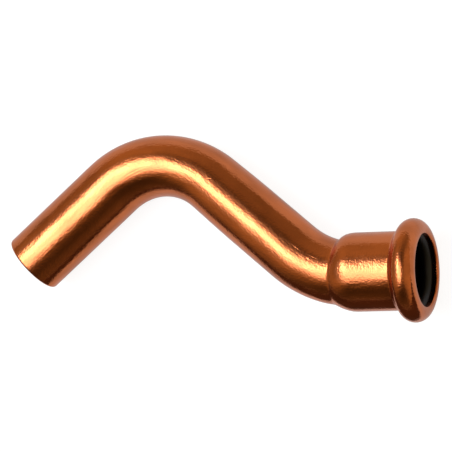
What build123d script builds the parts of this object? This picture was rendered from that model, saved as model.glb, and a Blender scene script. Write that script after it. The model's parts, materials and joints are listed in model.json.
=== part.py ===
from build123d import *
import os
from math import asin, cos, degrees, pi, radians, sin, sqrt

# A copper press fitting for 15 mm pipe, in millimetres and degrees. A plain tube end slides into another
# fitting's socket, a hump carries the pipe over one that crosses it, and a second bend leads to a press
# socket, whose rolled bead holds a rubber sealing ring. The whole body is formed from one length of tube.
# It lies as it comes to rest on a table: on its plain leg and on the rim of the bead.

# Tube
tube_radius = 7.5
tube_wall = 1.25

# Bends, all in one plane. A slope is the angle between the tube and the socket's axis.
neck_slope = 11.2
leg_slope = 40.0
low_bend_radius = 24.5
cross_leg_length = 25.65
hump_radius = 19.8
plain_leg_length = 27.1

# The hump is pressed narrower in the plane of the bends, most of all a little before its top.
flattening = 0.046
flattening_centre = 9.0
flattening_reach = 22.2
flattening_stations = 12

# Step and socket, which takes a pipe of the tube's own size
pipe_clearance = 0.1
socket_wall = 1.5
step_angle = 35.0
neck_fillet = 1.4
shoulder_radius = 7.0
stop_radius = 3.0

# Sealing ring, of round rubber cord, a touch smaller inside than the pipe
ring_cord_radius = 1.55
ring_squeeze = 0.02
ring_clearance = 0.1

# Bead at the mouth: the wall rolled round the sealing ring
bead_distance = 18.35
bead_wall = 1.25
flank_angle = 60.0
flank_fillet = 0.8
mouth_clearance = 0.85
mouth_rounding = 0.4
lip_rounding = 0.15

# Plain end
end_rounding = 0.5
end_bore_chamfer = 0.35

# How far shapes that join or cut run past each other
overlap = 2.5

# Sizes that follow from those above
bore_radius = tube_radius - tube_wall
socket_bore_radius = tube_radius + pipe_clearance
socket_radius = socket_bore_radius + socket_wall
bead_circle_radius = tube_radius + ring_cord_radius - ring_squeeze
groove_roll_radius = ring_cord_radius + ring_clearance
bead_roll_radius = groove_roll_radius + bead_wall
bead_radius = bead_circle_radius + bead_roll_radius
mouth_radius = tube_radius + mouth_clearance


# Where the run of the tube goes, in the plane of the bends: across the page along the socket's axis,
# with the mouth to the right, and up towards the hump. It starts inside the socket, so that the two join.
overlap_slope = degrees(overlap / low_bend_radius)
low_bend_centre = (low_bend_radius * sin(radians(neck_slope)), low_bend_radius * cos(radians(neck_slope)))
with BuildLine() as layout:
    low_bend = CenterArc(
        low_bend_centre,
        low_bend_radius,
        start_angle=270 - neck_slope + overlap_slope,
        arc_size=neck_slope - overlap_slope - leg_slope,
    )
    cross_leg = Line(low_bend @ 1, low_bend @ 1 + cross_leg_length * (low_bend % 1))
    hump = JernArc(cross_leg @ 1, cross_leg % 1, hump_radius, 2 * leg_slope)
    plain_leg = Line(hump @ 1, hump @ 1 + plain_leg_length * (hump % 1))

bead_centre = Vector(bead_distance, 0)
hump_start = low_bend.length + cross_leg.length
flattened_start = hump_start + flattening_centre - flattening_reach
flattened_end = hump_start + flattening_centre + flattening_reach
run_length = hump_start + hump.length + plain_leg.length


def narrowing(distance):
    """Share of its width that the tube keeps in the plane of the bends, at a distance along the run."""
    offset = (distance - hump_start - flattening_centre) / flattening_reach
    return 1 - flattening * cos(pi / 2 * offset) ** 2 if abs(offset) < 1 else 1


# How it rests: the plain leg lies along the table, and the thicker bead lifts the other end.
leg_direction = plain_leg % 1
bead_offset = bead_centre - (plain_leg @ 0)
bead_arm = abs(bead_offset.cross(leg_direction).Z)
rest_tilt = degrees(asin((bead_radius - tube_radius) / bead_arm))
leg_axis = Axis((0, 0, 0), leg_direction)
socket_direction = Vector(1, 0, 0).rotate(leg_axis, rest_tilt)
bend_normal = Vector(0, 0, 1).rotate(leg_axis, rest_tilt)
side_direction = bend_normal.cross(socket_direction)


def in_space(point):
    """The place in space of a point of the layout, with the neck at the origin."""
    return point.X * socket_direction + point.Y * side_direction


def ring_reach(centre, axis, radius, roll, direction):
    """How far a ring of round section reaches in a direction."""
    return centre.dot(direction) + radius * sqrt(1 - axis.dot(direction) ** 2) + roll


# The origin is under the middle of the box that holds the whole fitting.
end_centre = in_space(plain_leg @ 1)
end_ring_centre = end_centre - end_rounding * leg_direction
bead_reaches = [
    ring_reach(in_space(bead_centre), socket_direction, bead_circle_radius, bead_roll_radius, direction)
    for direction in (Vector(1, 0, 0), Vector(0, -1, 0))
]
end_reach = ring_reach(end_ring_centre, leg_direction, tube_radius - end_rounding, end_rounding, Vector(-1, 0, 0))
hump_top = in_space(hump @ 0.5)
hump_reach = hump_top.Y + tube_radius * narrowing(hump_start + hump.length / 2)
neck_height = tube_radius - in_space(plain_leg @ 0).Z
bend_plane = Plane(
    origin=((end_reach - bead_reaches[0]) / 2, (bead_reaches[1] - hump_reach) / 2, neck_height),
    x_dir=socket_direction,
    z_dir=bend_normal,
)
socket_axis = Axis(bend_plane.origin, bend_plane.x_dir)
run = Wire([low_bend, cross_leg, hump, plain_leg]).moved(bend_plane.location)


def across_run(distance):
    """The plane that cuts the tube square, with X in the plane of the bends."""
    tangent = run.tangent_at(distance, position_mode=PositionMode.LENGTH)
    return Plane(
        origin=run.position_at(distance, position_mode=PositionMode.LENGTH),
        x_dir=bend_plane.z_dir.cross(tangent),
        z_dir=tangent,
    )


def make_run(radius, past_end=0):
    """A solid bar along the tube's run, as thick as the outside or as the bore."""
    with BuildPart() as bar:
        with BuildSketch(across_run(0)):
            Circle(radius)
        sweep(path=run.edges()[0])
        with BuildSketch(across_run(low_bend.length)):
            Circle(radius)
        extrude(amount=flattened_start - low_bend.length)
        for station in range(flattening_stations + 1):
            distance = flattened_start + (flattened_end - flattened_start) * station / flattening_stations
            pressed = tube_radius * (1 - narrowing(distance))
            with BuildSketch(across_run(distance)):
                Ellipse(radius - pressed, radius)
        loft()
        with BuildSketch(across_run(flattened_end)):
            Circle(radius)
        extrude(amount=run_length + past_end - flattened_end)
    return bar.part


def roll_end(roll):
    """Where a roll of the bead meets the mouth, on the layout's page."""
    return Vector(bead_distance + sqrt(roll**2 - (bead_circle_radius - mouth_radius) ** 2), mouth_radius)


def socket_outline(body, step_start, corner, roll):
    """Half of the socket's section: its step, its straight wall and the roll of the bead."""
    step_direction = Vector(cos(radians(step_angle)), sin(radians(step_angle)))
    flank_direction = Vector(cos(radians(flank_angle)), sin(radians(flank_angle)))
    roll_centre = Vector(bead_distance, bead_circle_radius)
    roll_start = roll_centre + roll * Vector(-flank_direction.Y, flank_direction.X)
    step_foot = step_start - overlap * step_direction
    step_top = step_start + (body - step_start.Y) / step_direction.Y * step_direction
    flank_foot = roll_start - (roll_start.Y - body) / flank_direction.Y * flank_direction
    end = roll_end(roll)
    with BuildSketch(bend_plane) as outline:
        with BuildLine():
            FilletPolyline(step_foot, step_top, flank_foot, roll_start, radius=[corner, flank_fillet])
            ThreePointArc(roll_start, roll_centre + Vector(0, roll), end)
            Polyline(end, (end.X, 0), (step_foot.X, 0), step_foot)
        make_face()
    return outline.sketch


def rim(part, point):
    """The round edge of a part that passes through a point of the layout's page."""
    rings = part.edges().filter_by(GeomType.CIRCLE).filter_by(lambda edge: edge.is_closed)
    return rings.sort_by_distance(bend_plane.from_local_coords(point))[0]


# Where the step's cone leaves the tube, outside and inside the wall
outer_step_start = Vector(0, tube_radius)
inner_step_start = outer_step_start + tube_wall * Vector(sin(radians(step_angle)), -cos(radians(step_angle)))

# Hollow inside: the waterway, the socket's bore, the groove for the sealing ring and the mouth
with BuildPart() as hollow:
    add(make_run(bore_radius, past_end=overlap))
    add(socket_outline(socket_bore_radius, inner_step_start, stop_radius, groove_roll_radius))
    revolve(axis=socket_axis)
    with BuildSketch(bend_plane):
        with Locations((bead_distance, 0)):
            Rectangle(bead_roll_radius + overlap, mouth_radius, align=(Align.MIN, Align.MIN))
    revolve(axis=socket_axis)

# Fitting body
with BuildPart() as fitting_body:
    add(make_run(tube_radius))
    add(socket_outline(socket_radius, outer_step_start, shoulder_radius, bead_roll_radius))
    revolve(axis=socket_axis)
    fillet(fitting_body.edges(Select.NEW), radius=neck_fillet)
    add(hollow.part, mode=Mode.SUBTRACT)
    end_point = plain_leg @ 1
    end_across = Vector(-leg_direction.Y, leg_direction.X)
    fillet(rim(fitting_body, end_point + tube_radius * end_across), radius=end_rounding)
    chamfer(rim(fitting_body, end_point + bore_radius * end_across), length=end_bore_chamfer)
    fillet(rim(fitting_body, roll_end(bead_roll_radius)), radius=mouth_rounding)
    fillet(rim(fitting_body, roll_end(groove_roll_radius)), radius=lip_rounding)
fitting_body.part.label = "fitting_body"

# Sealing ring
with BuildPart() as sealing_ring:
    with BuildSketch(bend_plane):
        with Locations((bead_distance, bead_circle_radius)):
            Circle(ring_cord_radius)
    revolve(axis=socket_axis)
sealing_ring.part.label = "sealing_ring"

os.makedirs("parts", exist_ok=True)
export_step(fitting_body.part, "parts/fitting_body.step")
export_step(sealing_ring.part, "parts/sealing_ring.step")
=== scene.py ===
import json
import logging
from dataclasses import dataclass, field
from enum import Enum
from math import acos, atan2, cos, degrees, hypot, pi, radians, sin, sqrt, tan

import bmesh
import bpy
from mathutils import Matrix, Vector, noise


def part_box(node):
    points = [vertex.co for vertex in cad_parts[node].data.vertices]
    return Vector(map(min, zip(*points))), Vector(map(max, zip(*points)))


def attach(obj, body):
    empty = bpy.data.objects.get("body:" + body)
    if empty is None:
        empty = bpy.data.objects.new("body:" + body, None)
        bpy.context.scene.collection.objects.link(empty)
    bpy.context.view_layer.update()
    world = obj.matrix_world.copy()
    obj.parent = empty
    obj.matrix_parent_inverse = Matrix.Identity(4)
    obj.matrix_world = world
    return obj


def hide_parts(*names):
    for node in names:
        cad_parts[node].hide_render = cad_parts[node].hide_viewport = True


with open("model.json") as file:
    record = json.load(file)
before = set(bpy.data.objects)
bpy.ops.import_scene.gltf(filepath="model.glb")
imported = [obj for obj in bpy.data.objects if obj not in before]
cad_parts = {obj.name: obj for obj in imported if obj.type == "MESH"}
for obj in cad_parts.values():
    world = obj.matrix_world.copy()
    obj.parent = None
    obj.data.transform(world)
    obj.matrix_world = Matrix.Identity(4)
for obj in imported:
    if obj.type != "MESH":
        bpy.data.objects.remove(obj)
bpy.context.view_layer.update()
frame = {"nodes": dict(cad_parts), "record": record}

# A copper press fitting, lying on a pale table and seen from above, as in a catalogue picture.
# Lengths are in millimetres and angles in degrees until a mesh is handed to Blender, which counts in metres.

MM = 0.001
BODY = "root"

log = logging.getLogger("press_fitting")


def linear(hex_colour: str) -> tuple[float, float, float, float]:
    """Turns an sRGB colour, such as "#B87333", into the linear values that a shader takes.

    Args:
        hex_colour: The colour, with or without its hash.

    Returns:
        Red, green, blue and an alpha of 1.
    """
    text = hex_colour.lstrip("#")
    channels = [int(text[i:i + 2], 16) / 255 for i in (0, 2, 4)]
    bent = [c / 12.92 if c <= 0.04045 else ((c + 0.055) / 1.055) ** 2.4 for c in channels]
    return bent[0], bent[1], bent[2], 1.0


def smooth_step(value: float) -> float:
    """Eases a share from 0 to 1, level at both ends."""
    share = min(max(value, 0.0), 1.0)
    return share * share * (3 - 2 * share)


class Wall(Enum):
    """The two sides of the tube's wall, each with the number of its material slot."""

    OUTER = 0
    INNER = 1


@dataclass(frozen=True)
class Place:
    """A point on the middle line of the tube, and the way that leads up across it, in the plane of the bends."""

    point: Vector
    up: Vector


@dataclass
class Route:
    """The middle line of the tube, on the plane of its bends.

    The page's x runs along the socket's axis towards the mouth, its y towards the hump's side, and the neck is at
    the origin. A distance is counted from the neck towards the plain end, and is below 0 inside the socket.
    """

    neck_slope: float = 11.2
    leg_slope: float = 40.0
    low_bend_radius: float = 24.5
    cross_leg_length: float = 25.65
    hump_radius: float = 19.8
    plain_leg_length: float = 27.1
    neck_turn_reach: float = 2.0
    stretches: list[tuple[float, float]] = field(init=False)

    def __post_init__(self) -> None:
        """Works out the stretches, each a length and the turn along it, from the neck to the plain end."""
        reach = self.neck_turn_reach
        low_bend = self.low_bend_length
        bend_rate = (self.leg_slope - self.neck_slope) / low_bend
        self.stretches = [
            (reach, self.neck_slope / 2),
            (reach, self.neck_slope / 2 + bend_rate * reach),
            (low_bend - reach, bend_rate * (low_bend - reach)),
            (self.cross_leg_length, 0.0),
            (self.hump_length, -2 * self.leg_slope),
            (self.plain_leg_length, 0.0),
        ]

    @property
    def low_bend_length(self) -> float:
        """Length of the bend below the socket, along the middle line."""
        return self.low_bend_radius * radians(self.leg_slope - self.neck_slope)

    @property
    def hump_start(self) -> float:
        """Distance at which the hump's bend starts."""
        return self.low_bend_length + self.cross_leg_length

    @property
    def hump_length(self) -> float:
        """Length of the hump's bend, along the middle line."""
        return self.hump_radius * radians(2 * self.leg_slope)

    @property
    def length(self) -> float:
        """Distance of the plain end from the neck."""
        return self.hump_start + self.hump_length + self.plain_leg_length

    def place(self, distance: float) -> Place:
        """Finds where the middle line is at a distance from the neck.

        Args:
            distance: Millimetres from the neck, towards the plain end.

        Returns:
            The point on the page and the unit vector across the tube, towards the hump's side.
        """
        point = Vector((self.neck_turn_reach, 0.0))
        heading = 0.0
        left = distance + self.neck_turn_reach
        if left <= 0:
            return Place(point - Vector((left, 0.0)), Vector((0.0, 1.0)))
        for length, turn in self.stretches:
            walked = min(left, length)
            turned = radians(turn) * walked / length
            if turned:
                radius = walked / turned
                point += radius * Vector((
                    sin(heading) - sin(heading + turned),
                    cos(heading) - cos(heading + turned),
                ))
            else:
                point += walked * Vector((-cos(heading), sin(heading)))
            heading += turned
            left -= walked
            if left <= 0:
                break
        point += max(left, 0.0) * Vector((-cos(heading), sin(heading)))
        return Place(point, Vector((sin(heading), cos(heading))))


@dataclass
class BendPlane:
    """The plane of the bends as the fitting lies, found from the mounts that the frame states."""

    bead_distance: float = 18.35
    socket_axis: Vector = field(init=False)
    side: Vector = field(init=False)
    normal: Vector = field(init=False)
    neck: Vector = field(init=False)

    def __post_init__(self) -> None:
        """Reads the socket's axis and the plain leg's direction, and sets the plane and the neck from them."""
        mounts = {mount["name"]: mount for mount in frame["record"]["mounts"]}
        socket, plain = mounts["press_socket"], mounts["plain_end"]
        self.socket_axis = Vector(socket["axis"]).normalized()
        leg = Vector(plain["axis"]).normalized()
        self.normal = self.socket_axis.cross(-leg).normalized()
        self.normal *= 1 if self.normal.z > 0 else -1
        self.side = self.normal.cross(self.socket_axis).normalized()
        low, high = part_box("sealing_ring")
        ring_centre = (low + high) / 2 / MM
        self.neck = ring_centre - self.bead_distance * self.socket_axis

    def to_space(self, x: float, y: float, z: float) -> Vector:
        """Carries a point of the page, with its height above it, into space, in millimetres."""
        return self.neck + x * self.socket_axis + y * self.side + z * self.normal


@dataclass
class Outline:
    """A closed line on the page of the straightened tube, walked point by point.

    The page's first value runs along the tube towards the mouth and the second away from its axis.
    """

    mesh: bmesh.types.BMesh
    arc_step: float = 9.0
    tip: bmesh.types.BMVert = field(init=False)
    first: bmesh.types.BMVert = field(init=False)

    def start(self, along: float, out: float) -> None:
        """Sets the pen down at a first point."""
        self.first = self.tip = self.mesh.verts.new((along, 0.0, -out))

    def position(self) -> Vector:
        """Where the pen is, on the page."""
        return Vector((self.tip.co.x, -self.tip.co.z))

    def line(self, along: float, out: float, spacing: float = 0.0) -> None:
        """Draws a straight line to a point.

        Args:
            along: The point's place along the tube.
            out: The point's distance from the axis.
            spacing: How far apart points are set on the line. At 0 it has none between its ends.
        """
        here = self.position()
        move = Vector((along, out)) - here
        steps = max(1, round(move.length / spacing)) if spacing else 1
        for _ in range(steps):
            grown = bmesh.ops.extrude_vert_indiv(self.mesh, verts=[self.tip])
            self.tip = grown["verts"][0]
            bmesh.ops.translate(self.mesh, verts=[self.tip], vec=(move.x / steps, 0.0, -move.y / steps))

    def arc(self, along: float, out: float, turn: float) -> None:
        """Draws an arc round a centre.

        Args:
            along: The centre's place along the tube.
            out: The centre's distance from the axis.
            turn: Degrees turned, counter-clockwise on the page.
        """
        steps = max(2, round(abs(turn) / self.arc_step))
        swept = bmesh.ops.spin(
            self.mesh, geom=[self.tip], cent=(along, 0.0, -out), axis=(0.0, 1.0, 0.0),
            angle=radians(turn), steps=steps, use_duplicate=False,
        )
        self.tip = [item for item in swept["geom_last"] if isinstance(item, bmesh.types.BMVert)][0]

    def corner(self, along: float, out: float, next_along: float, next_out: float, radius: float,
               spacing: float = 0.0) -> None:
        """Draws a line towards a corner and goes round it on an arc, towards a next point.

        Args:
            along: The corner's place along the tube.
            out: The corner's distance from the axis.
            next_along: The next point's place along the tube.
            next_out: The next point's distance from the axis.
            radius: Radius of the arc.
            spacing: How far apart points are set on the line.
        """
        corner = Vector((along, out))
        coming = (corner - self.position()).normalized()
        going = (Vector((next_along, next_out)) - corner).normalized()
        turn = atan2(coming.x * going.y - coming.y * going.x, coming.dot(going))
        tangent = corner - radius * tan(abs(turn) / 2) * coming
        side = 1 if turn > 0 else -1
        centre = tangent + side * radius * Vector((-coming.y, coming.x))
        self.line(tangent.x, tangent.y, spacing)
        self.arc(centre.x, centre.y, degrees(turn))

    def close(self, spacing: float) -> None:
        """Draws a line back to the first point."""
        start = Vector((self.first.co.x, -self.first.co.z))
        self.line(start.x, start.y, spacing)


@dataclass
class FittingBody:
    """The copper body: one length of tube with its plain end, two bends, step, socket and rolled bead."""

    route: Route
    plane: BendPlane
    tube_radius: float = 7.5
    tube_wall: float = 1.25
    flattening: float = 0.046
    flattening_centre: float = 9.0
    flattening_reach: float = 22.2
    socket_bore_radius: float = 7.6
    socket_wall: float = 1.5
    step_angle: float = 35.0
    neck_fillet: float = 1.4
    shoulder_radius: float = 7.0
    stop_radius: float = 3.0
    bead_distance: float = 18.35
    bead_circle_radius: float = 9.03
    groove_roll_radius: float = 1.65
    bead_wall: float = 1.25
    flank_angle: float = 60.0
    flank_fillet: float = 0.8
    mouth_radius: float = 8.35
    mouth_rounding: float = 0.4
    lip_rounding: float = 0.15
    end_rounding: float = 0.5
    end_bore_chamfer: float = 0.35
    facets_around: int = 160
    tube_spacing: float = 0.65
    bore_spacing: float = 1.3
    socket_spacing: float = 0.4
    sharp_angle: float = 24.0
    inner_wall_reach: float = 1.0
    ripple: float = 0.022
    ripple_size: float = 7.0

    @property
    def bore_radius(self) -> float:
        """Radius of the waterway."""
        return self.tube_radius - self.tube_wall

    @property
    def socket_radius(self) -> float:
        """Radius of the socket outside."""
        return self.socket_bore_radius + self.socket_wall

    def narrowing(self, distance: float) -> float:
        """How much the tube is pressed in, in the plane of the bends, at a distance from the neck.

        Args:
            distance: Millimetres from the neck, towards the plain end.

        Returns:
            The millimetres that its radius loses in that plane.
        """
        offset = (distance - self.route.hump_start - self.flattening_centre) / self.flattening_reach
        if abs(offset) >= 1:
            return 0.0
        return self.tube_radius * self.flattening * cos(pi / 2 * offset) ** 2

    def draw_outer_wall(self, outline: Outline) -> None:
        """Walks the outline along the outside, from the plain end to the mouth's lip."""
        end = -self.route.length
        slope = tan(radians(self.step_angle))
        step_top = (self.socket_radius - self.tube_radius) / slope
        roll = self.groove_roll_radius + self.bead_wall
        flank = Vector((cos(radians(self.flank_angle)), sin(radians(self.flank_angle))))
        roll_start = Vector((self.bead_distance, self.bead_circle_radius)) + roll * Vector((-flank.y, flank.x))
        flank_foot = roll_start - (roll_start.y - self.socket_radius) / flank.y * flank
        outline.start(end, self.bore_radius + self.end_bore_chamfer)
        outline.corner(end, self.tube_radius, 0.0, self.tube_radius, self.end_rounding)
        outline.line(-self.neck_fillet * 2, self.tube_radius, self.tube_spacing)
        outline.corner(0.0, self.tube_radius, step_top, self.socket_radius, self.neck_fillet, self.socket_spacing)
        outline.corner(step_top, self.socket_radius, flank_foot.x, self.socket_radius, self.shoulder_radius)
        outline.corner(*flank_foot, *roll_start, self.flank_fillet, self.socket_spacing)
        outline.line(*roll_start, self.socket_spacing)
        rounding = Vector((0.0, self.mouth_radius + self.mouth_rounding))
        drop = self.bead_circle_radius - rounding.y
        rounding.x = self.bead_distance + sqrt((roll - self.mouth_rounding) ** 2 - drop ** 2)
        meeting = -degrees(atan2(drop, rounding.x - self.bead_distance))
        outline.arc(self.bead_distance, self.bead_circle_radius, meeting - 90 - self.flank_angle)
        outline.arc(*rounding, -90 - meeting)

    def draw_inner_wall(self, outline: Outline) -> None:
        """Walks the outline back along the inside, from the mouth's lip to the plain end."""
        slope = radians(self.step_angle)
        roll = self.groove_roll_radius
        flank = Vector((cos(radians(self.flank_angle)), sin(radians(self.flank_angle))))
        rounding = Vector((0.0, self.mouth_radius + self.lip_rounding))
        drop = self.bead_circle_radius - rounding.y
        rounding.x = self.bead_distance + sqrt((roll + self.lip_rounding) ** 2 - drop ** 2)
        meeting = -degrees(atan2(drop, rounding.x - self.bead_distance))
        outline.line(rounding.x, self.mouth_radius, self.socket_spacing)
        outline.arc(*rounding, -180 + meeting + 90)
        outline.arc(self.bead_distance, self.bead_circle_radius, 90 + self.flank_angle - meeting)
        roll_end = outline.position()
        flank_foot = roll_end - (roll_end.y - self.socket_bore_radius) / flank.y * flank
        cone_start = Vector((sin(slope), self.tube_radius / self.tube_wall - cos(slope))) * self.tube_wall
        cone_top = cone_start + (self.socket_bore_radius - cone_start.y) * Vector((1 / tan(slope), 1.0))
        cone_foot = cone_start + (self.bore_radius - cone_start.y) * Vector((1 / tan(slope), 1.0))
        outline.corner(*flank_foot, *cone_top, self.flank_fillet, self.socket_spacing)
        outline.corner(*cone_top, *cone_foot, self.stop_radius, self.bore_spacing)
        outline.corner(*cone_foot, -1.0, self.bore_radius, self.flank_fillet)
        outline.line(self.end_bore_chamfer - self.route.length, self.bore_radius, self.bore_spacing)
        outline.close(0.0)

    def bend(self, mesh: bmesh.types.BMesh) -> None:
        """Carries the straight tube onto its route, and presses the hump.

        Args:
            mesh: The straight tube, whose vertices are moved.
        """
        places: dict[int, tuple[Place, float]] = {}
        for vert in mesh.verts:
            along, across, height = vert.co
            key = round(along * 1000)
            if key not in places:
                places[key] = (self.route.place(-along), self.narrowing(-along))
            place, pressed = places[key]
            across *= 1 - pressed / hypot(across, height)
            page = place.point + across * place.up
            vert.co = self.plane.to_space(page.x, page.y, height) * MM

    def ripple_wall(self, mesh: bmesh.types.BMesh) -> None:
        """Moves the outside in and out by hundredths of a millimetre, as drawing and bending leave it."""
        for vert in mesh.verts:
            along, across, height = vert.co
            out = hypot(across, height)
            depth = smooth_step((out - self.tube_radius + 0.3) / 0.2) * smooth_step((self.bead_distance - along) / 3)
            swell = noise.noise(Vector((along / 2.2, across, height)) / self.ripple_size)
            swell += 0.4 * noise.noise(Vector((along / 2.2, across, height)) / self.ripple_size * 3.1)
            shift = 1 + depth * self.ripple * swell / out
            vert.co.y *= shift
            vert.co.z *= shift

    def part_walls(self, mesh: bmesh.types.BMesh) -> None:
        """Gives the faces of the inner wall, from the plain end to the sealing ring, their own material slot."""
        for face in mesh.faces:
            middle = face.calc_center_median()
            out = Vector((0.0, middle.y, middle.z)).normalized()
            inside = face.normal.dot(out) < -0.3 and middle.x < self.bead_distance + self.inner_wall_reach
            # The inner wall's slot carries the bore's near-black painted shade.
            face.material_index = (Wall.INNER if inside else Wall.OUTER).value

    def unroll(self, mesh: bmesh.types.BMesh) -> None:
        """Writes the "unrolled" UV map: millimetres along the tube and, across it, round its outside."""
        layer = mesh.loops.layers.uv.new("unrolled")
        for face in mesh.faces:
            centre = face.calc_center_median()
            middle = atan2(centre.y, centre.z)
            for loop in face.loops:
                angle = atan2(loop.vert.co.y, loop.vert.co.z)
                angle += 2 * pi * round((middle - angle) / (2 * pi))
                loop[layer].uv = (loop.vert.co.x, angle * self.tube_radius)

    def build(self) -> bpy.types.Object:
        """Makes the body's object, with its place in its mesh.

        Returns:
            The object, which rides on nothing yet.
        """
        mesh = bmesh.new()
        outline = Outline(mesh)
        self.draw_outer_wall(outline)
        self.draw_inner_wall(outline)
        bmesh.ops.remove_doubles(mesh, verts=mesh.verts, dist=0.02)
        bmesh.ops.spin(
            mesh, geom=mesh.verts[:] + mesh.edges[:], cent=(0.0, 0.0, 0.0), axis=(1.0, 0.0, 0.0),
            angle=2 * pi, steps=self.facets_around, use_merge=True, use_duplicate=False,
        )
        bmesh.ops.remove_doubles(mesh, verts=mesh.verts, dist=0.001)
        bmesh.ops.recalc_face_normals(mesh, faces=mesh.faces)
        self.part_walls(mesh)
        drawn = mesh.verts.layers.float_vector.new("drawn_place")
        for vert in mesh.verts:
            vert[drawn] = vert.co
        self.unroll(mesh)
        self.ripple_wall(mesh)
        self.bend(mesh)
        for edge in mesh.edges:
            edge.smooth = edge.is_manifold and edge.calc_face_angle() < radians(self.sharp_angle)
        for face in mesh.faces:
            face.smooth = True
        data = bpy.data.meshes.new("copper_fitting")
        mesh.to_mesh(data)
        mesh.free()
        body = bpy.data.objects.new("copper_fitting", data)
        bpy.context.scene.collection.objects.link(body)
        return body


def add_node(tree: bpy.types.NodeTree, kind: str, settings: dict | None = None,
             links: dict | None = None) -> bpy.types.Node:
    """Adds a node to a tree, sets its properties and sockets, and links its inputs.

    Args:
        tree: The node tree.
        kind: The node's type name.
        settings: Property names, or socket names or numbers, with their values.
        links: Input socket names or numbers, with the output sockets that feed them.

    Returns:
        The new node.
    """
    node = tree.nodes.new(kind)
    for name, value in (settings or {}).items():
        if isinstance(name, str) and hasattr(node, name):
            setattr(node, name, value)
        else:
            node.inputs[name].default_value = value
    for name, output in (links or {}).items():
        tree.links.new(output, node.inputs[name])
    return node


def new_material(name: str) -> tuple[bpy.types.Material, bpy.types.NodeTree]:
    """Makes an empty node material.

    Args:
        name: The material's name.

    Returns:
        The material and its cleared node tree.
    """
    material = bpy.data.materials.new(name)
    material.use_nodes = True
    material.node_tree.nodes.clear()
    return material, material.node_tree


@dataclass(frozen=True)
class Scratch:
    """A thin groove in the outside, placed on the unrolled tube in millimetres along it and round it."""

    along: float
    around: float
    half_length: float
    angle: float
    half_width: float = 0.14
    depth: float = 0.03


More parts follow.
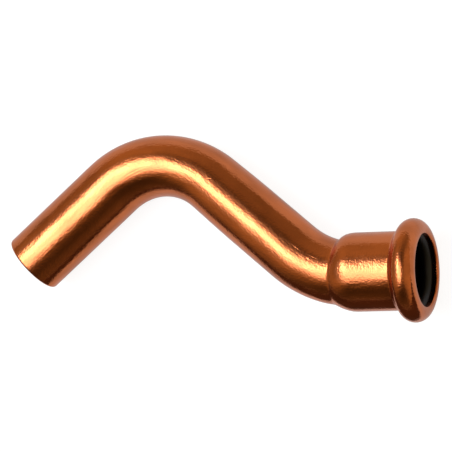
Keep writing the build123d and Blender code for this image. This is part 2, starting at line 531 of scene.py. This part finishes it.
@dataclass(frozen=True)
class DrawnCopper:
    """Bare copper, drawn to tube, bent cold and handled: satin, with an orange peel, drawing marks along the tube,
    turning marks round the socket, a few scratches and a light brown tarnish in patches."""

    colour: str = "#E7824E"
    tarnish: str = "#B4643A"
    tarnish_share: float = 0.55
    roughness: tuple[float, float] = (0.09, 0.15)
    peel_size: float = 0.42
    peel_height: float = 0.045
    dent_size: float = 2.6
    dent_height: float = 0.09
    line_size: float = 0.4
    drawn_length: float = 18.0
    drawn_height: float = 0.012
    turned_height: float = 0.02
    scratches: tuple[Scratch, ...] = (
        Scratch(-57.2, -1.3, 5.6, 8.0),
        Scratch(-56.6, -1.9, 4.6, 8.0),
        Scratch(-41.2, -1.5, 0.9, -9.0),
        Scratch(-41.0, -3.0, 0.6, -60.0),
        Scratch(-36.9, 1.5, 1.0, 35.0, 0.2),
        Scratch(-26.4, 0.2, 1.1, 75.0),
        Scratch(-15.8, -1.7, 0.5, 20.0, 0.3),
        Scratch(-14.4, -2.4, 0.5, 20.0, 0.3),
        Scratch(-10.0, 2.1, 1.9, -3.0, 0.2),
        Scratch(-4.9, 2.0, 1.8, -3.0, 0.2),
        Scratch(-5.8, 1.2, 0.5, 0.0, 0.3),
        Scratch(18.9, 5.3, 0.3, 0.0, 0.25, 0.06),
    )

    def stretched_noise(self, tree: bpy.types.NodeTree, place: bpy.types.NodeSocket,
                        sizes: tuple[float, float, float], detail: float = 2.0) -> bpy.types.NodeSocket:
        """A noise whose lumps have given sizes.

        Args:
            tree: The material's node tree.
            place: The place on the straight tube, in millimetres.
            sizes: The lumps' sizes along the tube and across it, in millimetres.
            detail: How many finer layers it has.

        Returns:
            The noise's value, about 0.5.
        """
        scaled = add_node(tree, "ShaderNodeVectorMath", {"operation": "DIVIDE", 1: sizes}, {0: place})
        return add_node(tree, "ShaderNodeTexNoise", {"Scale": 1.0, "Detail": detail},
                        {"Vector": scaled.outputs[0]}).outputs["Fac"]

    def scratch_depth(self, tree: bpy.types.NodeTree) -> bpy.types.NodeSocket:
        """The depth of all the scratches together, in millimetres."""
        unrolled = add_node(tree, "ShaderNodeUVMap", {"uv_map": "unrolled"})
        total = None
        for scratch in self.scratches:
            near = add_node(
                tree, "ShaderNodeMapping",
                {"vector_type": "TEXTURE", "Location": (scratch.along, scratch.around, 0.0),
                 "Rotation": (0.0, 0.0, radians(scratch.angle)),
                 "Scale": (scratch.half_length, scratch.half_width, 1.0)},
                {"Vector": unrolled.outputs["UV"]},
            )
            reach = add_node(tree, "ShaderNodeVectorMath", {"operation": "LENGTH"}, {0: near.outputs[0]})
            depth = add_node(tree, "ShaderNodeMapRange", {"To Min": scratch.depth, "To Max": 0.0},
                             {"Value": reach.outputs["Value"]}).outputs["Result"]
            if total is None:
                total = depth
            else:
                total = add_node(tree, "ShaderNodeMath", {"operation": "ADD"}, {0: total, 1: depth}).outputs[0]
        return total

    def relief(self, tree: bpy.types.NodeTree, place: bpy.types.NodeSocket,
               turned: bpy.types.NodeSocket) -> bpy.types.NodeSocket:
        """The normal that all the fine relief gives.

        Args:
            tree: The material's node tree.
            place: The place on the straight tube, in millimetres.
            turned: How much of the turning marks shows, from 0 on the tube to 1 on the socket.

        Returns:
            The bent normal.
        """
        lines = self.stretched_noise(tree, place, (self.drawn_length, self.line_size, self.line_size))
        rings = self.stretched_noise(tree, place, (self.line_size, self.drawn_length, self.drawn_length))
        layers = (
            (self.stretched_noise(tree, place, (self.peel_size,) * 3), self.peel_height),
            (self.stretched_noise(tree, place, (self.dent_size * 2, self.dent_size, self.dent_size)),
             self.dent_height),
            (lines, self.drawn_height),
        )
        height = add_node(tree, "ShaderNodeMath", {"operation": "MULTIPLY", 1: self.turned_height}, {0: rings})
        height = add_node(tree, "ShaderNodeMath", {"operation": "MULTIPLY"}, {0: height.outputs[0], 1: turned})
        for noise_value, size in layers:
            height = add_node(tree, "ShaderNodeMath", {"operation": "MULTIPLY_ADD", 1: size},
                              {0: noise_value, 2: height.outputs[0]})
        height = add_node(tree, "ShaderNodeMath", {"operation": "SUBTRACT"},
                          {0: height.outputs[0], 1: self.scratch_depth(tree)})
        bump = add_node(tree, "ShaderNodeBump", {"Distance": MM, "Strength": 1.0}, {"Height": height.outputs[0]})
        return bump.outputs["Normal"]

    def build(self) -> bpy.types.Material:
        """Makes the material.

        Returns:
            The finished material.
        """
        material, tree = new_material("drawn_copper")
        place = add_node(tree, "ShaderNodeAttribute", {"attribute_name": "drawn_place"}).outputs["Vector"]
        along = add_node(tree, "ShaderNodeSeparateXYZ", links={0: place})
        turned = add_node(tree, "ShaderNodeMapRange", {"From Min": -0.5, "From Max": 0.5}, {"Value": along.outputs["X"]})
        patches = self.stretched_noise(tree, place, (9.0, 4.0, 4.0), 4.0)
        browned = add_node(tree, "ShaderNodeMapRange", {"From Min": 0.42, "From Max": 0.72, "To Max": self.tarnish_share},
                           {"Value": patches})
        tint = add_node(tree, "ShaderNodeMix", {"data_type": "RGBA"}, {0: browned.outputs["Result"]})
        colours = [socket for socket in tint.inputs if socket.type == "RGBA"]
        colours[0].default_value = linear(self.colour)
        colours[1].default_value = linear(self.tarnish)
        grain = self.stretched_noise(tree, place, (1.6, 0.8, 0.8), 3.0)
        roughness = add_node(tree, "ShaderNodeMapRange",
                             {"From Min": 0.3, "From Max": 0.7, "To Min": self.roughness[0], "To Max": self.roughness[1]},
                             {"Value": grain})
        shader = add_node(
            tree, "ShaderNodeBsdfPrincipled", {"Metallic": 1.0},
            {"Base Color": [socket for socket in tint.outputs if socket.type == "RGBA"][0],
             "Roughness": roughness.outputs["Result"],
             "Normal": self.relief(tree, place, turned.outputs["Result"])},
        )
        add_node(tree, "ShaderNodeOutputMaterial", links={"Surface": shader.outputs["BSDF"]})
        return material


@dataclass(frozen=True)
class BoreShadeCopper:
    """The bare copper inside the tube, dull and nearly black: painted shade of the bore, which keeps the mouth dark."""

    # Near-black painted shade of the bore, not the copper's own colour.
    colour: str = "#2A1A14"
    roughness: float = 0.6

    def build(self) -> bpy.types.Material:
        """Makes the material.

        Returns:
            The finished material.
        """
        material, tree = new_material("painted_shade_bore")
        shader = add_node(
            tree, "ShaderNodeBsdfPrincipled",
            {"Base Color": linear(self.colour), "Metallic": 1.0, "Roughness": self.roughness},
        )
        add_node(tree, "ShaderNodeOutputMaterial", links={"Surface": shader.outputs["BSDF"]})
        return material


@dataclass(frozen=True)
class SealRubber:
    """Black moulded rubber, a little oiled, which gives the mouth its dark edge."""

    colour: str = "#0B0B0D"
    roughness: float = 0.45

    def build(self) -> bpy.types.Material:
        """Makes the material.

        Returns:
            The finished material.
        """
        material, tree = new_material("seal_rubber")
        shader = add_node(
            tree, "ShaderNodeBsdfPrincipled",
            {"Base Color": linear(self.colour), "Roughness": self.roughness},
        )
        add_node(tree, "ShaderNodeOutputMaterial", links={"Surface": shader.outputs["BSDF"]})
        return material


@dataclass
class Camera:
    """The photograph's camera: far above, with a long lens, turned a little towards the mouth."""

    plane: BendPlane
    turn: float = 21.27
    tip: float = 4.46
    roll: float = 0.41
    distance: float = 832.1
    aim: tuple[float, float] = (-35.0, 15.0)
    aim_offset: tuple[float, float] = (-6.83, -3.01)
    focal_pixels: float = 3564.8
    image_pixels: float = 452.0
    sensor: float = 36.0

    def build(self) -> bpy.types.Object:
        """Makes the camera and hands it to the scene.

        Returns:
            The camera's object.
        """
        data = bpy.data.cameras.new("camera")
        data.sensor_width = self.sensor
        data.lens = self.focal_pixels / self.image_pixels * self.sensor
        data.clip_end = 10.0
        turned = (
            Matrix.Rotation(radians(self.roll), 3, "Z")
            @ Matrix.Rotation(radians(-self.tip), 3, "X")
            @ Matrix.Rotation(radians(-self.turn), 3, "Y")
        )
        offset = turned.transposed() @ Vector((-self.aim_offset[0], self.aim_offset[1], self.distance))
        eye = Vector((self.aim[0], self.aim[1], 0.0)) + offset
        basis = Matrix((self.plane.socket_axis, self.plane.side, self.plane.normal)).transposed()
        world = (basis @ turned.transposed()).to_4x4()
        world.translation = self.plane.to_space(*eye) * MM
        camera = bpy.data.objects.new("camera", data)
        camera.matrix_world = world
        bpy.context.scene.collection.objects.link(camera)
        bpy.context.scene.camera = camera
        return camera


@dataclass(frozen=True)
class Glow:
    """A soft round patch of the room's light.

    Its place is counted in degrees from the camera's own way, as seen from the fitting, to the right and up.
    """

    right: float
    up: float
    half_width: float
    half_height: float
    lean: float
    softness: float
    brightness: float
    colour: str = "#FFE7B2"

    def tint(self) -> tuple[float, float, float, float]:
        """Its colour, as bright as it shines."""
        red, green, blue, _ = linear(self.colour)
        return red * self.brightness, green * self.brightness, blue * self.brightness, 1.0

    def paint(self, tree: bpy.types.NodeTree, dial: bpy.types.NodeSocket,
              under: bpy.types.NodeSocket) -> bpy.types.NodeSocket:
        """Paints the patch over what is there already.

        Args:
            tree: The world's node tree.
            dial: The direction looked at, in degrees to the right and up.
            under: The colour that is there already.

        Returns:
            The colour with the patch on it.
        """
        near = add_node(
            tree, "ShaderNodeMapping",
            {"vector_type": "TEXTURE", "Location": (self.right, self.up, 0.0),
             "Rotation": (0.0, 0.0, radians(self.lean)), "Scale": (self.half_width, self.half_height, 1.0)},
            {"Vector": dial},
        )
        reach = add_node(tree, "ShaderNodeVectorMath", {"operation": "LENGTH"}, {0: near.outputs[0]})
        share = add_node(
            tree, "ShaderNodeMapRange",
            {"interpolation_type": "SMOOTHSTEP", "From Min": 1 - self.softness, "From Max": 1 + self.softness,
             "To Min": 1.0, "To Max": 0.0},
            {"Value": reach.outputs["Value"]},
        )
        mixed = add_node(tree, "ShaderNodeMix", {"data_type": "RGBA"})
        colours = [socket for socket in mixed.inputs if socket.type == "RGBA"]
        colours[1].default_value = self.tint()
        tree.links.new(under, colours[0])
        tree.links.new(share.outputs["Result"], mixed.inputs[0])
        return [socket for socket in mixed.outputs if socket.type == "RGBA"][0]


@dataclass(frozen=True)
class Floor:
    """The white sheet that the fitting lies on, with a faint shadow."""

    colour: str = "#F2F2F2"
    seen_glow: float = 1.3
    mirrored_glow: float = 0.55
    glow_share: float = 0.7
    side: float = 3.0

    def build(self) -> bpy.types.Object:
        """Makes the sheet.

        Returns:
            The sheet's object.
        """
        mesh = bmesh.new()
        bmesh.ops.create_grid(mesh, x_segments=1, y_segments=1, size=self.side / 2)
        data = bpy.data.meshes.new("floor")
        mesh.to_mesh(data)
        mesh.free()
        material, tree = new_material("white_sheet")
        path = add_node(tree, "ShaderNodeLightPath")
        mirrored = add_node(tree, "ShaderNodeMath", {"operation": "MAXIMUM"},
                            {0: path.outputs["Is Glossy Ray"], 1: path.outputs["Is Transmission Ray"]})
        seen = add_node(tree, "ShaderNodeMath", {"operation": "MAXIMUM"},
                        {0: path.outputs["Is Camera Ray"], 1: mirrored.outputs[0]})
        share = add_node(tree, "ShaderNodeMath", {"operation": "MULTIPLY", 1: self.glow_share},
                         {0: seen.outputs[0]})
        strength = add_node(tree, "ShaderNodeMapRange", {"To Min": self.mirrored_glow, "To Max": self.seen_glow},
                            {"Value": path.outputs["Is Camera Ray"]})
        matt = add_node(tree, "ShaderNodeBsdfDiffuse", {"Color": linear(self.colour)})
        glow = add_node(tree, "ShaderNodeEmission", {"Color": (1.0, 1.0, 1.0, 1.0)},
                        {"Strength": strength.outputs["Result"]})
        mixed = add_node(tree, "ShaderNodeMixShader",
                         links={0: share.outputs[0], 1: matt.outputs[0], 2: glow.outputs[0]})
        add_node(tree, "ShaderNodeOutputMaterial", links={"Surface": mixed.outputs[0]})
        data.materials.append(material)
        floor = bpy.data.objects.new("floor", data)
        bpy.context.scene.collection.objects.link(floor)
        return floor


@dataclass(frozen=True)
class DarkReflectionSheet:
    """A dark sheet on the floor below the picture, glowing faintly: a painted dark reflection, which the fitting's
    lower side mirrors and nothing else shows.
    """

    gap: float = 30.0
    half_width: float = 700.0
    depth: float = 700.0
    lift: float = 0.2
    # Colour of the painted dark reflection.
    colour: str = "#4A3B30"

    def build(self, camera: bpy.types.Object) -> bpy.types.Object:
        """Makes the dark sheet.

        Args:
            camera: The camera, which gives the way down the picture.

        Returns:
            The cloth's object, which belongs to the stage.
        """
        down = -camera.matrix_world.to_3x3().col[1]
        down = Vector((down.x, down.y, 0.0)).normalized()
        across = Vector((-down.y, down.x, 0.0)) * self.half_width
        near = down * self.gap + Vector((0.0, 0.0, self.lift))
        far = near + down * self.depth
        mesh = bmesh.new()
        corners = [mesh.verts.new(point * MM) for point in (near - across, near + across, far + across, far - across)]
        bmesh.ops.contextual_create(mesh, geom=corners)
        data = bpy.data.meshes.new("painted_dark_reflection")
        mesh.to_mesh(data)
        mesh.free()
        material, tree = new_material("painted_dark_reflection")
        # A dark glow that stands in for a dark reflection: painted reflection.
        shade = add_node(tree, "ShaderNodeEmission", {"Color": linear(self.colour)})
        add_node(tree, "ShaderNodeOutputMaterial", links={"Surface": shade.outputs[0]})
        data.materials.append(material)
        reflection_sheet = bpy.data.objects.new("painted_dark_reflection", data)
        # Hidden from the camera, from diffuse light and from shadows, so it shows only as a painted dark reflection.
        reflection_sheet.visible_camera = reflection_sheet.visible_diffuse = reflection_sheet.visible_shadow = False
        bpy.context.scene.collection.objects.link(reflection_sheet)
        return reflection_sheet


@dataclass(frozen=True)
class Room:
    """The light all round: a dim warm room, one large soft light over the left of the picture and dark sides."""

    dim: float = 0.106
    glows: tuple[Glow, ...] = (
        Glow(92.0, 2.3, 90.2, 72.1, 1.5, 0.29, 0.46),
        Glow(-50.7, 118.7, 109.4, 58.3, 13.2, 0.89, 0.47),
        Glow(-60.8, 13.7, 50.8, 57.6, 1.3, 0.66, 0.50),
        Glow(-92.4, -88.5, 41.9, 18.0, 7.7, 0.16, 0.09),
        Glow(-15.6, -53.5, 47.0, 19.8, 19.1, 0.9, 0.05),
        Glow(-111.5, 47.3, 43.2, 28.9, -10.3, 0.7, 0.22),
        Glow(-41.5, 15.8, 46.2, 25.2, 23.6, 0.54, 0.05),
        Glow(-45.4, 4.0, 27.5, 30.6, 16.8, 0.55, 0.77, "#F6FBFF"),
        Glow(-33.8, -5.0, 19.3, 14.9, 36.7, 0.7, 4.0, "#EEF4FF"),
        Glow(-48.9, 12.3, 7.9, 14.2, 1.9, 0.85, 8.0, "#EEF4FF"),
    )

    def build(self, camera: bpy.types.Object) -> None:
        """Makes the world.

        Args:
            camera: The camera from which the patches' places are counted.
        """
        world = bpy.data.worlds.new("room")
        bpy.context.scene.world = world
        world.use_nodes = True
        tree = world.node_tree
        tree.nodes.clear()
        way = add_node(tree, "ShaderNodeTexCoord")
        turn = camera.matrix_world.to_3x3().inverted().to_euler()
        view = add_node(tree, "ShaderNodeMapping", {"vector_type": "VECTOR", "Rotation": tuple(turn)},
                        {"Vector": way.outputs["Generated"]})
        parts = add_node(tree, "ShaderNodeSeparateXYZ", links={0: view.outputs[0]})
        lean = add_node(tree, "ShaderNodeMath", {"operation": "ARCCOSINE"}, {0: parts.outputs["Z"]})
        lean = add_node(tree, "ShaderNodeMath", {"operation": "MULTIPLY", 1: degrees(1.0)}, {0: lean.outputs[0]})
        flat = add_node(tree, "ShaderNodeVectorMath", {"operation": "MULTIPLY", 1: (1.0, 1.0, 0.0)},
                        {0: view.outputs[0]})
        flat = add_node(tree, "ShaderNodeVectorMath", {"operation": "NORMALIZE"}, {0: flat.outputs[0]})
        dial = add_node(tree, "ShaderNodeVectorMath", {"operation": "SCALE"},
                        {0: flat.outputs[0], "Scale": lean.outputs[0]})
        colour = add_node(tree, "ShaderNodeRGB").outputs[0]
        colour.default_value = Glow(0, 0, 1, 1, 0, 1, self.dim).tint()
        for glow in self.glows:
            colour = glow.paint(tree, dial.outputs[0], colour)
        room = add_node(tree, "ShaderNodeBackground", links={"Color": colour})
        add_node(tree, "ShaderNodeOutputWorld", links={"Surface": room.outputs[0]})


def main() -> None:
    """Builds the fitting, its studio and its camera, and logs the size of the body's mesh."""
    logging.basicConfig(level=logging.INFO, format="%(name)s: %(message)s")
    plane = BendPlane()
    route = Route()
    body = FittingBody(route, plane).build()
    body.data.materials.append(DrawnCopper().build())
    # The second slot, the inner wall, takes the bore's painted shade.
    body.data.materials.append(BoreShadeCopper().build())
    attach(body, BODY)
    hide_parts("fitting_body")
    log.info("%s has %d vertices and %d faces", body.name, len(body.data.vertices), len(body.data.polygons))
    ring = frame["nodes"]["sealing_ring"]
    ring.data.materials.clear()
    ring.data.materials.append(SealRubber().build())
    camera = Camera(plane).build()
    Room().build(camera)
    Floor().build()
    # Painted dark reflection on the fitting's lower side.
    DarkReflectionSheet().build(camera)
    bpy.context.scene.view_settings.view_transform = "Standard"


if __name__ == "__main__":
    main()
